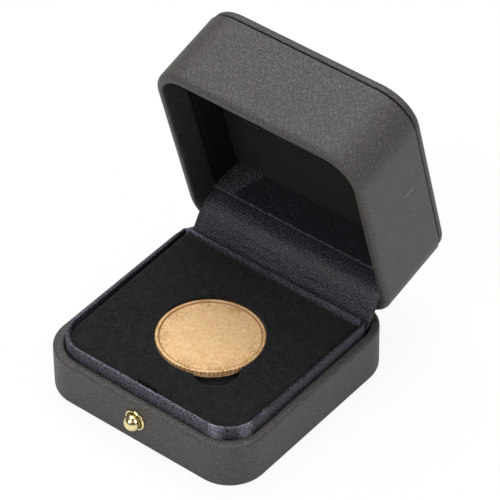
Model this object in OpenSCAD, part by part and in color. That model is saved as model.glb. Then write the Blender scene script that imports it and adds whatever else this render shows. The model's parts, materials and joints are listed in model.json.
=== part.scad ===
// Square display box for one coin: a leatherette case with a sprung lid, a padded tray and a push button.
// Origin at the middle of the underside, +X to the right, -Y to the front, +Z up. The lid stands open.

/* [Box] */
// Width of the box
box_w = 89; // [86:0.5:100]
// Depth of the box
box_d = 89; // [86:0.5:100]
// Corner radius seen from above
corner_r = 14.5; // [13.5:0.5:15.5]
// Height of the base, up to its rim
base_h = 19.1; // [18:0.1:24]
// Height of the lid, from its rim to its top
lid_h = 34.9; // [33:0.1:42]
// Gap between the two rims when the box is shut
rim_gap = 0.3; // [0.2:0.05:0.6]
// How far the lid opens, in degrees
lid_open = 75; // [60:1:78]

/* [Walls] */
// Thickness of a wall with its covering
wall_t = 3.5; // [3.2:0.1:4]
// Thickness of the leatherette
wrap_t = 0.7; // [0.5:0.05:0.8]
// Thickness of the moulded floor of the base
floor_t = 2; // [1.5:0.1:3]
// Thickness of the moulded deck of the lid
deck_t = 2; // [1.5:0.1:3]
// Height of the leatherette's foot above the ground
foot_gap = 0.2; // [0.1:0.05:0.4]
// Rounding of the base's outer foot edge
foot_r = 1.6; // [1:0.1:2]
// Rounding of the base rim's outer edge
base_rim_r = 1.2; // [0.9:0.1:1.5]
// Rounding of the lid rim's outer edge
lid_rim_r = 2.4; // [1.8:0.1:2.4]
// Rounding of the inner edge of both rims
inner_rim_r = 0.9; // [0.75:0.05:1]
// Rounding where the lid's wall meets its top panel
shoulder_r = 0.9; // [0.5:0.1:1.2]
// How far the leatherette turns in up the lid's inner walls
lid_turn_in = 11.6; // [9:0.1:14]

/* [Top panel] */
// Thickness of the top panel
panel_t = 3.9; // [3.2:0.1:5]
// Rounding of the top panel's upper edge
panel_r = 2.4; // [1.5:0.1:2.5]
// How far the top panel's side stands in from the wall
panel_inset = 0.5; // [0.2:0.05:0.7]

/* [Tray] */
// How far the satin collar stands above the base rim
collar_up = 4.5; // [3.5:0.1:5]
// Gap between the collar and the inner wall
collar_gap = 0.4; // [0.35:0.05:0.6]
// Thickness of the collar's card frame
collar_card_t = 0.7; // [0.5:0.05:0.9]
// Thickness of the satin
satin_t = 0.3; // [0.2:0.05:0.4]
// How much rounder the collar's front corners are than the wall's inside
collar_slack_r = 1.6; // [1:0.1:2.5]
// Rounding of the collar's rear corners
collar_rear_r = 2; // [1.9:0.1:2.5]
// Room behind the collar for the hinge, from the back of the box
hinge_room = 12.1; // [12:0.1:14]
// Gap between the collar and the pad
pad_gap = 0.6; // [0.4:0.05:1]
// Depth of the pad's face below the collar's edge
pad_drop = 1.9; // [1.6:0.1:3]
// Thickness of the board with the coin hole
pad_board_t = 2.6; // [2:0.1:3.5]
// Thickness of the velvet
velvet_t = 0.5; // [0.4:0.05:0.6]
// Thickness of the card that the coin lies on
coin_bed_t = 0.6; // [0.5:0.1:1]
// Rounding of the pad's outer edge
pad_edge_r = 1; // [0.7:0.05:1.1]
// Rounding of the edge of the coin hole
hole_edge_r = 0.8; // [0.6:0.05:0.9]

/* [Coin] */
// Radius of the coin
coin_r = 19.3; // [18:0.1:21]
// Thickness of the coin at its rim
coin_t = 3.5; // [2.4:0.1:3.6]
// Width of the coin's raised rim
coin_rim_w = 1.7; // [1:0.1:2.5]
// Depth of the coin's field below its rim
coin_field_drop = 0.35; // [0.1:0.05:0.5]
// Gap round the coin
coin_gap = 0.3; // [0.2:0.05:0.6]
// How far the coin sits in front of the pad's middle
coin_forward = 0.8; // [0:0.1:1.2]
// How far the coin sits to the right of the pad's middle
coin_right = 0.8; // [-1:0.1:1]
// Radius of the finger notch
notch_r = 8.1; // [6:0.1:9]
// Distance of the notch's centre from the coin's
notch_at = 17.4; // [15:0.1:18]
// Direction of the finger notch, in degrees from +X
notch_dir = -43; // [-60:1:-30]

/* [Lid lining] */
// Depth of the lid's pad below the deck
lid_pad_t = 5.4; // [4:0.1:7]
// Thickness of the suede cover of the lid's pad
suede_t = 0.7; // [0.5:0.1:1]
// Gap round the lid's pad
lid_pad_gap = 0.3; // [0.2:0.05:0.6]
// Rounding of the lid pad's edge
lid_pad_r = 0.6; // [0.3:0.1:0.65]
// Height of the rear card's lower edge above the lid's rim
card_up = 10.1; // [8:0.1:12]
// Thickness of the rear card
card_t = 1.2; // [0.8:0.1:1.5]
// How far the rear card leans back over its height
card_lean = 2.6; // [1.5:0.1:3.5]

/* [Hinge] */
// Distance of the hinge axis from the back of the box
hinge_in = 2.3; // [2.2:0.05:2.6]
// Height of the hinge axis above the base rim
hinge_up = 1; // [0.9:0.05:1.1]
// Diameter of the hinge pin
pin_d = 1.6; // [1.4:0.05:1.7]
// Outer diameter of the knuckles
knuckle_d = 3.1; // [2.9:0.05:3.2]
// Radial clearance between the pin and the lid's knuckles
pin_clear = 0.05; // [0.02:0.01:0.08]
// Distance of the hinge's ends from where the box's corners start
hinge_end = 0; // [0:0.5:4]
// Length of an outer base knuckle
base_knuckle_l = 8; // [6:0.5:9]
// Half the length of the middle base knuckle
mid_knuckle_half = 4; // [3:0.5:5]
// Thickness of the hinge leaves
leaf_t = 0.8; // [0.6:0.05:0.9]
// Height of the lid's leaf
lid_leaf_h = 11; // [9:0.5:12]
// Height of the base's leaf
base_leaf_h = 12.5; // [10:0.5:13]
// Diameter of the rivets' shanks
rivet_d = 1.6; // [1.4:0.1:1.8]

/* [Button and latch] */
// Height of the button's centre
button_z = 10.8; // [10.5:0.1:11.5]
// Diameter of the button's ball
ball_d = 6.2; // [5.6:0.1:6.4]
// How far the ball's centre stands out from the front
ball_out = 1.5; // [1.3:0.1:2]
// How far the button goes in
press = 0.9; // [0.7:0.05:0.95]
// Gap between the ball and the bezel's cup
ball_gap = 0.3; // [0.2:0.05:0.4]
// Width of the bezel's ring
ring_w = 0.75; // [0.7:0.05:1.2]
// How far the bezel stands out from the front
bezel_out = 0.8; // [0.6:0.1:1]
// Depth of the bezel's cup behind the front
cup_depth = 1.1; // [1:0.1:1.2]
// Diameter of the button's stem
stem_d = 1.6; // [1.4:0.1:1.8]
// Thickness of the catch plate
catch_t = 0.6; // [0.5:0.05:0.6]
// Half the width of the catch plate
catch_half = 4; // [3.5:0.1:4.5]
// Thickness of the strike's tongue
tongue_t = 0.55; // [0.45:0.05:0.6]
// Half the width of the strike's tongue
tongue_half = 3; // [2.5:0.1:3]

/* [Hidden] */
$fn = 48;
over = 1;    // how far a cut runs past what it cuts

// Box faces
half_w = box_w / 2;
front = -box_d / 2;
back = box_d / 2;
inner_front = front + wall_t;
inner_back = back - wall_t;
inner_r = corner_r - wall_t;

// Heights in the base
board_t = foot_gap + wrap_t;
floor_z = board_t + floor_t;
turn_under = 5;
board_gap = 0.2;
shell_lap = 1.3;

// Heights in the shut lid
rim_z = base_h + rim_gap;
lid_top = rim_z + lid_h;
panel_z = lid_top - panel_t;
deck_top = panel_z - wrap_t;
deck_z = deck_top - deck_t;
turn_in_z = rim_z + lid_turn_in;
turn_over = 6;
panel_turn = 8;
panel_seam_r = 0.7;

// Collar and pad
collar_t = collar_card_t + 2 * satin_t;
collar_top = base_h + collar_up;
collar_x = half_w - wall_t - collar_gap;
collar_front = inner_front + collar_gap;
collar_back = back - hinge_room;
collar_front_r = inner_r - collar_gap + collar_slack_r;
satin_hem = 9.6;
satin_hem_z = collar_top - satin_hem;
satin_edge_r = 0.6;
pad_x = collar_x - collar_t - pad_gap;
pad_front = collar_front + collar_t + pad_gap;
pad_back = collar_back - collar_t - pad_gap;
pad_front_r = collar_front_r - collar_t - pad_gap;
pad_rear_r = 1.5;
pad_top = collar_top - pad_drop;
board_top = pad_top - velvet_t;
bed_top = board_top - pad_board_t;
bed_z = bed_top - coin_bed_t;
spacer_gap = 0.2;
coin_place = [coin_right, (pad_front + pad_back) / 2 - coin_forward, 0];
hole_r = coin_r + coin_gap;
hole_velvet_t = velvet_t - 0.1;

// Hinge
hinge_half = half_w - corner_r - hinge_end;
hinge_y = back - hinge_in;
hinge_z = base_h + hinge_up;
knuckle_r = knuckle_d / 2;
relief_z = base_h - 1.2;
notch_half = hinge_half + 1;
lid_notch_z = hinge_z + 2;
leaf_y = inner_back - leaf_t;
knuckle_gap = 0.3;
spring_gap = 0.3;
pin_end = 0.6;
lid_leaf_z = hinge_z + knuckle_r + 0.35;
// The base's leaf stays clear of the knuckles and coils that turn in front of it
base_leaf_top = hinge_z - knuckle_r + 0.2;
rivet_head_d = 3;
rivet_head_t = 0.6;
rivet_grip = 2;
rivet_clear = 0.05;
rivet_end = 4;
base_rivet_x = [for (x = [rivet_end - hinge_half, -0.3 * hinge_half]) each [x, -x]];
lid_rivet_x = [-0.6 * hinge_half, 0, 0.6 * hinge_half];

// Rear card and the strip of satin over the hinge
card_y = collar_back + 0.2;
card_z = rim_z + card_up;
card_inset = 0.1;
card_angle = atan(card_lean / (deck_z - card_z));
lid_pad_z = deck_z - lid_pad_t;
lid_pad_x = half_w - wall_t - lid_pad_gap;
lid_pad_front = inner_front + lid_pad_gap;
lid_pad_back = card_y + (lid_pad_z - card_z) * tan(card_angle) - satin_t - lid_pad_gap;
lid_pad_front_r = inner_r - lid_pad_gap;
lid_pad_rear_r = 2;
strip_t = 0.35;
strip_half = collar_x - 0.8;
strip_hem = 11.6;
strip_foot_z = collar_top - strip_hem;
strip_bend = [collar_back + strip_t / 2, base_h - 0.2];
strip_end = opened([card_y + 0.4, card_z - satin_t - 0.5]);
strip_valley = [4.4, -0.4];
strip_crest = [-10.2, -0.3];
strip_low = strip_bend + strip_valley;
strip_high = strip_end + strip_crest;
strip_steps = 24;

// Latch, from the front wall back
shank_d = 5;
shank_clear = 0.1;
cup_d = ball_d + 2 * ball_gap;
bezel_d = cup_d + 2 * ring_w;
boss_d = cup_d + 0.8;
boss_in = cup_depth + 0.5;
ball_flat = ball_out + cup_depth - press - 0.05;
shank_end = inner_front + 0.8;
washer_t = 0.6;
washer_d = 7.6;
neck_d = 3.8;
bore_d = neck_d + 0.4;
shank_floor = 0.7;
neck_end = front + boss_in + 0.1;
tongue_y = collar_front + collar_t + 0.15;
catch_y = tongue_y + tongue_t + 0.2;
nose_reach = 0.6;
nose_t = 0.6;
nose_z = base_h + 1.6;
catch_z = button_z - 3.2;
clip_t = 0.5;
stem_end = catch_y + catch_t + clip_t + 0.2;
window_h = 0.95;
bar_h = 0.6;
tongue_z = nose_z - 0.05 - bar_h;
shelf_z = collar_top + 0.6;
shelf_t = 0.6;
strike_t = 0.7;
strike_half = 6;
strike_h = 9;
strike_rivet_d = 2;
strike_rivet_t = 0.5;
strike_rivet_end = 2;
strike_rivet_up = 6;
collar_window_half = 5;
catch_room_half = catch_half + 0.5;
upper_room_y = catch_y + catch_t + press + 0.3;
lower_room_y = stem_end + press + 0.4;

// A point of the shut lid, as [y, z], where it lies when the lid is open
function opened(p) = [
    hinge_y + (p[0] - hinge_y) * cos(lid_open) + (p[1] - hinge_z) * sin(lid_open),
    hinge_z - (p[0] - hinge_y) * sin(lid_open) + (p[1] - hinge_z) * cos(lid_open)];

// Point at t on a cubic curve
function curve(a, b, c, d, t) =
    pow(1 - t, 3) * a + 3 * pow(1 - t, 2) * t * b + 3 * (1 - t) * t * t * c + pow(t, 3) * d;

// Unit normal of a line of points at place k
function along(p, k) = p[min(k + 1, len(p) - 1)] - p[max(k - 1, 0)];
function left_of(v) = [-v[1], v[0]] / norm(v);
function offset_line(p, t) = [for (k = [0:len(p) - 1]) p[k] + t * left_of(along(p, k))];

// Puts lid pieces, drawn shut, where the open lid holds them
module in_lid() {
    translate([0, hinge_y, hinge_z]) rotate([-lid_open, 0, 0]) translate([0, -hinge_y, -hinge_z]) children();
}

// What rounding takes off a square corner
module edge_cut(r) {
    difference() {
        square(r + 0.01);
        circle(r);
    }
}

// Wall section with rounded edges: bottom outer, bottom inner, top inner, top outer
module bar(x0, z0, x1, z1, bl = 0, br = 0, tr = 0, tl = 0) {
    difference() {
        translate([x0, z0]) square([x1 - x0, z1 - z0]);
        if (bl > 0) translate([x0 + bl, z0 + bl]) rotate(180) edge_cut(bl);
        if (br > 0) translate([x1 - br, z0 + br]) rotate(270) edge_cut(br);
        if (tr > 0) translate([x1 - tr, z1 - tr]) edge_cut(tr);
        if (tl > 0) translate([x0 + tl, z1 - tl]) rotate(90) edge_cut(tl);
    }
}

// Sweeps a section, drawn as inset and height, round an outline with its own front and rear corners
module swept(x, y0, y1, front_r, rear_r) {
    for (turn = [0, 1]) mirror([turn, 0, 0]) {
        translate([x, y1 - rear_r, 0]) rotate([90, 0, 0])
            linear_extrude(y1 - y0 - front_r - rear_r) mirror([1, 0]) children();
        translate([x - rear_r, y1 - rear_r, 0])
            rotate_extrude(angle = 90) translate([rear_r, 0]) mirror([1, 0]) children();
        translate([x - front_r, y0 + front_r, 0]) rotate(-90)
            rotate_extrude(angle = 90) translate([front_r, 0]) mirror([1, 0]) children();
    }
    along_x(front_r - x, x - front_r) translate([y0, 0]) children();
    along_x(rear_r - x, x - rear_r) translate([y1, 0]) mirror([1, 0]) children();
}

// Runs a section, drawn as depth and height, along the width
module along_x(x0, x1) {
    translate([x0, 0, 0]) rotate([90, 0, 90]) linear_extrude(x1 - x0) children();
}

// A rod along the depth or the width
module rod_y(y0, y1, d) {
    translate([0, y1, 0]) rotate([90, 0, 0]) cylinder(h = y1 - y0, d = d);
}
module rod_x(x0, x1, d) {
    translate([x0, 0, 0]) rotate([0, 90, 0]) cylinder(h = x1 - x0, d = d);
}

// Flat outline with its own front and rear corner radii
module outline(x, y0, y1, front_r, rear_r) {
    translate([-x, y0 + front_r]) square([2 * x, y1 - y0 - front_r - rear_r]);
    translate([front_r - x, y0]) square([2 * (x - front_r), front_r + 0.01]);
    translate([rear_r - x, y1 - rear_r - 0.01]) square([2 * (x - rear_r), rear_r + 0.01]);
    for (turn = [-1, 1]) {
        translate([turn * (x - front_r), y0 + front_r]) circle(front_r);
        translate([turn * (x - rear_r), y1 - rear_r]) circle(rear_r);
    }
}

// Plate between two heights that follows the box's outline, some way in
module box_plate(inset, z0, z1) {
    translate([0, 0, z0]) linear_extrude(z1 - z0)
        outline(half_w - inset, front + inset, back - inset, corner_r - inset, corner_r - inset);
}
module box_walls() {
    swept(half_w, front, back, corner_r, corner_r) children();
}

// Plates that follow the collar's and the pad's outline
module collar_plate(inset, z0, z1) {
    translate([0, 0, z0]) linear_extrude(z1 - z0)
        outline(collar_x - inset, collar_front + inset, collar_back - inset,
            collar_front_r - inset, collar_rear_r - inset);
}
module pad_plate(inset, z0, z1) {
    translate([0, 0, z0]) linear_extrude(z1 - z0)
        outline(pad_x - inset, pad_front + inset, pad_back - inset, pad_front_r - inset, pad_rear_r - inset);
}

// Hole for the bezel through the front wall
module bezel_hole() {
    translate([0, 0, button_z]) {
        rod_y(front - over, inner_front + over, shank_d + 2 * shank_clear);
        rod_y(front - over, front + boss_in + shank_clear, boss_d + 2 * shank_clear);
    }
}

// Holes for the rivets through the rear walls
module rivet_holes(places, z, y0) {
    for (x = places) translate([x, 0, z]) rod_y(y0, inner_back + rivet_grip + 0.2, rivet_d + 2 * rivet_clear);
}
module base_rivet_holes() { rivet_holes(base_rivet_x, base_rivet_z(), leaf_y - over); }
module lid_rivet_holes() { rivet_holes(lid_rivet_x, lid_rivet_z(), leaf_y - over); }
function base_rivet_z() = base_h - 7.5;
function lid_rivet_z() = lid_leaf_z + lid_leaf_h / 2;

// What is taken off the base's rear rim for the lid's swing and the knuckles
module base_relief(drop) {
    along_x(-half_w - over, half_w + over) translate([back, base_h - drop])
        polygon([[-3.2, 0.1], [-2.1, relief_z - base_h], [over, relief_z - base_h], [over, 3], [-3.2, 3]]);
    translate([-notch_half - drop, inner_back - over, relief_z - drop])
        cube([2 * (notch_half + drop), wall_t + 2 * over, 5]);
}

// What is taken off the lid's rear rim for the knuckles
module lid_relief(grow) {
    translate([-notch_half - grow, inner_back - over, rim_z - over])
        cube([2 * (notch_half + grow), wall_t + 2 * over, lid_notch_z + grow - rim_z + over]);
}

// The moulded core of each half's walls, which the leatherette lies on
module base_core() {
    box_walls() bar(wrap_t, board_t, wall_t - wrap_t, base_h - wrap_t,
        foot_r - wrap_t, 0, 0.2, base_rim_r - wrap_t);
}
module lid_core() {
    box_walls() bar(wrap_t, rim_z + wrap_t, wall_t - wrap_t, deck_top,
        lid_rim_r - wrap_t, inner_rim_r - wrap_t);
}

module base_shell() {
    color([0.12, 0.12, 0.13]) difference() {
        union() {
            difference() {
                base_core();
                base_relief(wrap_t);
            }
            box_plate(wrap_t + shell_lap, board_t, floor_z);
        }
        bezel_hole();
        base_rivet_holes();
    }
}

module base_wrap() {
    color([0.16, 0.15, 0.15]) difference() {
        box_walls() union() {
            bar(0, foot_gap, wall_t, base_h, foot_r, 0, inner_rim_r, base_rim_r);
            translate([wall_t - 0.01, foot_gap]) square([turn_under - wall_t + 0.01, wrap_t]);
        }
        base_relief(0);
        difference() {
            base_core();
            base_relief(wrap_t);
        }
        box_walls() translate([wall_t - wrap_t - 0.01, board_t])
            square([turn_under, floor_t]);
        bezel_hole();
        base_rivet_holes();
    }
}

module bottom_board() {
    color([0.1, 0.1, 0.1]) box_plate(turn_under + board_gap, 0, board_t);
}

// Window in the collar's front for the button's shank and washer
module collar_window() {
    translate([-collar_window_half, collar_front - over, button_z - collar_window_half])
        cube([2 * collar_window_half, collar_t + 2 * over, 2 * collar_window_half]);
}

module collar_frame() {
    color([0.35, 0.33, 0.3]) difference() {
        collar_plate(satin_t, floor_z, collar_top - satin_t);
        collar_plate(satin_t + collar_card_t, floor_z - over, collar_top + over);
        collar_window();
    }
}

module collar_satin() {
    color([0.12, 0.13, 0.2]) difference() {
        swept(collar_x, collar_front, collar_back, collar_front_r, collar_rear_r) difference() {
            bar(0, satin_hem_z, collar_t, collar_top, 0, 0, satin_edge_r, satin_edge_r);
            translate([satin_t, satin_hem_z - over])
                square([collar_card_t, collar_top - satin_t - satin_hem_z + over]);
        }
        collar_window();
    }
}

// Room for the catch and the stem in front of the pad
module catch_room(y1, z0, z1) {
    translate([-catch_room_half, collar_front, z0]) cube([2 * catch_room_half, y1 - collar_front, z1 - z0]);
}

module pad_spacer() {
    color([0.2, 0.2, 0.2]) difference() {
        pad_plate(spacer_gap, floor_z, bed_z);
        catch_room(lower_room_y, floor_z - over, bed_z + over);
    }
}

module coin_bed() {
    color([0.05, 0.05, 0.05]) difference() {
        pad_plate(0, bed_z, bed_top);
        catch_room(lower_room_y, bed_z - over, bed_top + over);
    }
}

// The coin hole and the finger notch, grown outwards by some way
module coin_holes(grow, z0, z1) {
    translate(coin_place) {
        translate([0, 0, z0]) cylinder(h = z1 - z0, r = hole_r + grow);
        notch_place() translate([0, 0, z0]) cylinder(h = z1 - z0, r = notch_r + grow);
    }
}
module notch_place() {
    translate([notch_at * cos(notch_dir), notch_at * sin(notch_dir), 0]) children();
}

// Rounding of the edge of a round hole
module hole_edge(r) {
    rotate_extrude() translate([r + hole_edge_r, pad_top - hole_edge_r]) rotate(90) edge_cut(hole_edge_r);
}

module pad_board() {
    color([0.3, 0.28, 0.25]) difference() {
        pad_plate(velvet_t, bed_top, board_top);
        coin_holes(hole_velvet_t, bed_top - over, board_top + over);
        catch_room(upper_room_y, bed_top - over, board_top + over);
    }
}

module pad_velvet() {
    color([0.04, 0.04, 0.045]) difference() {
        pad_plate(0, bed_top, pad_top);
        swept(pad_x, pad_front, pad_back, pad_front_r, pad_rear_r)
            translate([pad_edge_r, pad_top - pad_edge_r]) rotate(90) edge_cut(pad_edge_r);
        difference() {
            pad_plate(velvet_t, bed_top - over, board_top);
            coin_holes(hole_velvet_t, bed_top - 2 * over, board_top + over);
        }
        coin_holes(0, bed_top - 2 * over, pad_top + over);
        translate(coin_place) {
            hole_edge(hole_r);
            notch_place() hole_edge(notch_r);
        }
        catch_room(upper_room_y, bed_top - over, pad_top + over);
    }
}

module coin() {
    color([0.55, 0.42, 0.24]) translate(coin_place + [0, 0, bed_top]) rotate_extrude($fn = 96) difference() {
        bar(0, 0, coin_r, coin_t, 0, 0.25, 0.25, 0);
        translate([-over, coin_t - coin_field_drop]) square([coin_r - coin_rim_w + over, over]);
        translate([-over, coin_field_drop - over]) square([coin_r - coin_rim_w + over, over]);
    }
}

module button_bezel() {
    color([0.83, 0.66, 0.35]) translate([0, 0, button_z]) difference() {
        union() {
            translate([0, front, 0]) rotate([90, 0, 0]) rotate_extrude()
                bar(0, 0, bezel_d / 2, bezel_out, 0, 0, bezel_out / 2, 0);
            rod_y(front - 0.01, front + boss_in, boss_d);
            rod_y(front, shank_end, shank_d);
        }
        rod_y(front - bezel_out - over, front + cup_depth, cup_d);
        rod_y(front, shank_end - shank_floor, bore_d);
        rod_y(front, shank_end + over, stem_d + 0.1);
    }
}

module bezel_washer() {
    color("silver") translate([0, 0, button_z]) difference() {
        rod_y(inner_front, inner_front + washer_t, washer_d);
        rod_y(inner_front - over, inner_front + washer_t + over, shank_d);
    }
}

module button_spring() {
    color("silver") translate([0, 0, button_z]) difference() {
        rod_y(neck_end, shank_end - shank_floor, neck_d - 0.2);
        rod_y(neck_end - over, shank_end, stem_d + 1);
    }
}

// The ball is flat behind, where the cup stops it
module push_button() {
    color([0.86, 0.68, 0.36]) translate([0, 0, button_z]) {
        translate([0, front - ball_out, 0]) rotate([90, 0, 0]) rotate_extrude() difference() {
            circle(d = ball_d);
            translate([-ball_d, -ball_d]) square([ball_d, 2 * ball_d]);
            translate([-ball_d, -ball_d]) square([2 * ball_d, ball_d - ball_flat]);
        }
        rod_y(front - ball_out, neck_end, neck_d);
        rod_y(front - ball_out, stem_end, stem_d);
    }
}

module catch_plate() {
    color("silver") difference() {
        union() {
            translate([-catch_half, catch_y, catch_z])
                cube([2 * catch_half, catch_t, nose_z + nose_t - catch_z]);
            along_x(-tongue_half + 0.3, tongue_half - 0.3) polygon([
                [catch_y + 0.01, nose_z], [catch_y - nose_reach, nose_z],
                [catch_y - nose_reach, nose_z + nose_t / 3], [catch_y + 0.01, nose_z + nose_t]]);
        }
        translate([0, 0, button_z]) rod_y(catch_y - over, catch_y + catch_t + over, stem_d);
    }
}

module stem_clip() {
    color("silver") translate([0, 0, button_z]) difference() {
        rod_y(catch_y + catch_t, catch_y + catch_t + clip_t, 2 * stem_d);
        rod_y(catch_y, stem_end + over, stem_d);
    }
}

// Stretches of the hinge that the knuckles take, on one side and in the middle
base_knuckles = [
    [-hinge_half, base_knuckle_l - hinge_half],
    [-mid_knuckle_half, mid_knuckle_half],
    [hinge_half - base_knuckle_l, hinge_half]];
lid_knuckles = [
    [base_knuckle_l - hinge_half + knuckle_gap, 2 * base_knuckle_l - hinge_half + knuckle_gap],
    [hinge_half - 2 * base_knuckle_l - knuckle_gap, hinge_half - base_knuckle_l - knuckle_gap]];

module knuckles(places, plate_z0, plate_z1) {
    for (x = places) {
        translate([0, hinge_y, hinge_z]) rod_x(x[0], x[1], knuckle_d);
        translate([x[0], leaf_y, plate_z0]) cube([x[1] - x[0], leaf_t, plate_z1 - plate_z0]);
    }
}

module hinge_base_leaf() {
    color([0.6, 0.6, 0.62]) difference() {
        union() {
            knuckles(base_knuckles, hinge_z - 2, hinge_z);
            translate([-hinge_half, leaf_y, base_leaf_top - base_leaf_h])
                cube([2 * hinge_half, leaf_t, base_leaf_h]);
        }
        translate([0, hinge_y, hinge_z]) rod_x(-hinge_half - over, hinge_half + over, pin_d);
        base_rivet_holes();
    }
}

module hinge_lid_leaf() {
    color([0.6, 0.6, 0.62]) in_lid() difference() {
        union() {
            knuckles(lid_knuckles, hinge_z + 0.2, lid_leaf_z + over);
            translate([-hinge_half, leaf_y, lid_leaf_z]) cube([2 * hinge_half, leaf_t, lid_leaf_h]);
        }
        translate([0, hinge_y, hinge_z]) rod_x(-hinge_half, hinge_half, pin_d + 2 * pin_clear);
        lid_rivet_holes();
    }
}

module hinge_pin() {
    color("silver") translate([0, hinge_y, hinge_z])
        rod_x(-hinge_half - pin_end, hinge_half + pin_end, pin_d);
}

// Two coils on the pin, as plain sleeves
module hinge_springs() {
    spring_id = pin_d + 0.3;
    spring_od = knuckle_d - 0.2;
    spring_x0 = mid_knuckle_half + spring_gap;
    spring_x1 = lid_knuckles[1][0] - spring_gap;
    color([0.5, 0.5, 0.52]) for (turn = [0, 1]) mirror([turn, 0, 0]) {
        translate([0, hinge_y, hinge_z]) difference() {
            rod_x(spring_x0, spring_x1, spring_od);
            rod_x(spring_x0 - over, spring_x1 + over, spring_id);
        }
    }
}

module rivets(places, z) {
    for (x = places) translate([x, 0, z]) {
        rod_y(leaf_y - 0.01, inner_back + rivet_grip, rivet_d);
        translate([0, leaf_y, 0]) rotate([90, 0, 0]) rotate_extrude()
            bar(0, 0, rivet_head_d / 2, rivet_head_t, 0, 0, rivet_head_t - 0.1, 0);
    }
}

module base_leaf_rivets() {
    color("silver") rivets(base_rivet_x, base_rivet_z());
}

module lid_leaf_rivets() {
    color("silver") in_lid() rivets(lid_rivet_x, lid_rivet_z());
}

// Satin from behind the collar, over the hinge, to the rear card of the open lid
module hinge_strip() {
    middle = concat(
        [[strip_bend[0], strip_foot_z]],
        [for (k = [0:strip_steps]) curve(strip_bend, strip_low, strip_high, strip_end, k / strip_steps)]);
    color([0.15, 0.16, 0.23]) along_x(-strip_half, strip_half) polygon(concat(
        offset_line(middle, strip_t / 2),
        [for (k = [len(middle) - 1:-1:0]) offset_line(middle, -strip_t / 2)[k]]));
}

module lid_shell() {
    color([0.12, 0.12, 0.13]) in_lid() difference() {
        union() {
            difference() {
                lid_core();
                lid_relief(wrap_t);
            }
            box_plate(wrap_t + shell_lap, deck_z, deck_top);
        }
        lid_rivet_holes();
    }
}

module lid_wrap() {
    color([0.17, 0.16, 0.16]) in_lid() difference() {
        box_walls() union() {
            bar(0, rim_z, wall_t, panel_z, lid_rim_r, inner_rim_r, 0, shoulder_r);
            translate([wall_t - 0.01, deck_top]) square([turn_over - wall_t, wrap_t]);
        }
        lid_relief(0);
        difference() {
            lid_core();
            lid_relief(wrap_t);
        }
        box_walls() translate([wall_t - wrap_t - 0.01, turn_in_z])
            square([turn_over, deck_top - turn_in_z]);
        lid_rivet_holes();
    }
}

module lid_side_lining() {
    color([0.09, 0.09, 0.1]) in_lid() difference() {
        box_walls() translate([wall_t - wrap_t, turn_in_z]) square([wrap_t, deck_z - turn_in_z]);
        lid_rivet_holes();
    }
}

module top_panel_wrap() {
    color([0.16, 0.15, 0.15]) in_lid() difference() {
        box_plate(panel_inset, panel_z, lid_top);
        box_walls() translate([panel_inset + panel_r, lid_top - panel_r]) rotate(90) edge_cut(panel_r);
        box_walls() translate([panel_inset + panel_seam_r, panel_z + panel_seam_r]) rotate(180)
            edge_cut(panel_seam_r);
        panel_fill();
        box_plate(panel_turn, panel_z - over, panel_z + wrap_t + 0.01);
    }
}

// The board inside the top panel's leatherette
module panel_fill() {
    difference() {
        box_plate(panel_inset + wrap_t, panel_z + wrap_t, lid_top - wrap_t);
        box_walls() translate([panel_inset + panel_r, lid_top - panel_r]) rotate(90)
            edge_cut(panel_r - wrap_t);
    }
}

module top_panel_board() {
    plug_gap = 0.2;
    color([0.3, 0.28, 0.25]) in_lid() {
        panel_fill();
        box_plate(panel_turn + plug_gap, deck_top, panel_z + wrap_t + 0.01);
    }
}

// Plate of the lid's pad, between the inner walls and the rear card
module lid_pad_plate(inset, z0, z1) {
    translate([0, 0, z0]) linear_extrude(z1 - z0)
        outline(lid_pad_x - inset, lid_pad_front + inset, lid_pad_back - inset,
            lid_pad_front_r - inset, lid_pad_rear_r - inset);
}

module lid_pad_foam() {
    color([0.15, 0.15, 0.14]) in_lid() lid_pad_plate(spacer_gap, lid_pad_z + suede_t, deck_z);
}

module lid_pad_cover() {
    color([0.12, 0.12, 0.1]) in_lid() difference() {
        lid_pad_plate(0, lid_pad_z, lid_pad_z + suede_t);
        swept(lid_pad_x, lid_pad_front, lid_pad_back, lid_pad_front_r, lid_pad_rear_r)
            translate([lid_pad_r, lid_pad_z + lid_pad_r]) rotate(180) edge_cut(lid_pad_r);
    }
}

// Slanted slab in front of the lid's hinge, between two distances from the rear card's face
module card_slab(t0, t1, z0) {
    intersection() {
        box_plate(wall_t + card_inset, z0, deck_z);
        translate([0, card_y, card_z]) rotate([-card_angle, 0, 0])
            translate([-half_w, t0, -lid_h / 2]) cube([2 * half_w, t1 - t0, 1.5 * lid_h]);
    }
}

module lid_rear_card() {
    color([0.35, 0.33, 0.3]) in_lid() card_slab(0, card_t, card_z);
}

module lid_rear_satin() {
    color([0.15, 0.16, 0.23]) in_lid() difference() {
        card_slab(-satin_t, card_t, card_z - satin_t);
        card_slab(0, card_t + over, card_z);
    }
}

module strike_plate() {
    strike_y = inner_front + strike_t;
    color("silver") in_lid() difference() {
        union() {
            translate([-strike_half, inner_front, shelf_z]) cube([2 * strike_half, strike_t, strike_h]);
            translate([-tongue_half, inner_front, shelf_z])
                cube([2 * tongue_half, tongue_y + tongue_t - inner_front, shelf_t]);
            translate([-tongue_half, tongue_y, tongue_z])
                cube([2 * tongue_half, tongue_t, shelf_z + shelf_t - tongue_z]);
        }
        translate([-tongue_half + 0.1, tongue_y - over, tongue_z + bar_h])
            cube([2 * tongue_half - 0.2, tongue_t + 2 * over, window_h]);
    }
}

module strike_rivets() {
    rivet_x = strike_half - strike_rivet_end;
    color("silver") in_lid() for (x = [-rivet_x, rivet_x]) translate([x, 0, shelf_z + strike_rivet_up])
        rod_y(inner_front + strike_t, inner_front + strike_t + strike_rivet_t, strike_rivet_d);
}

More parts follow.
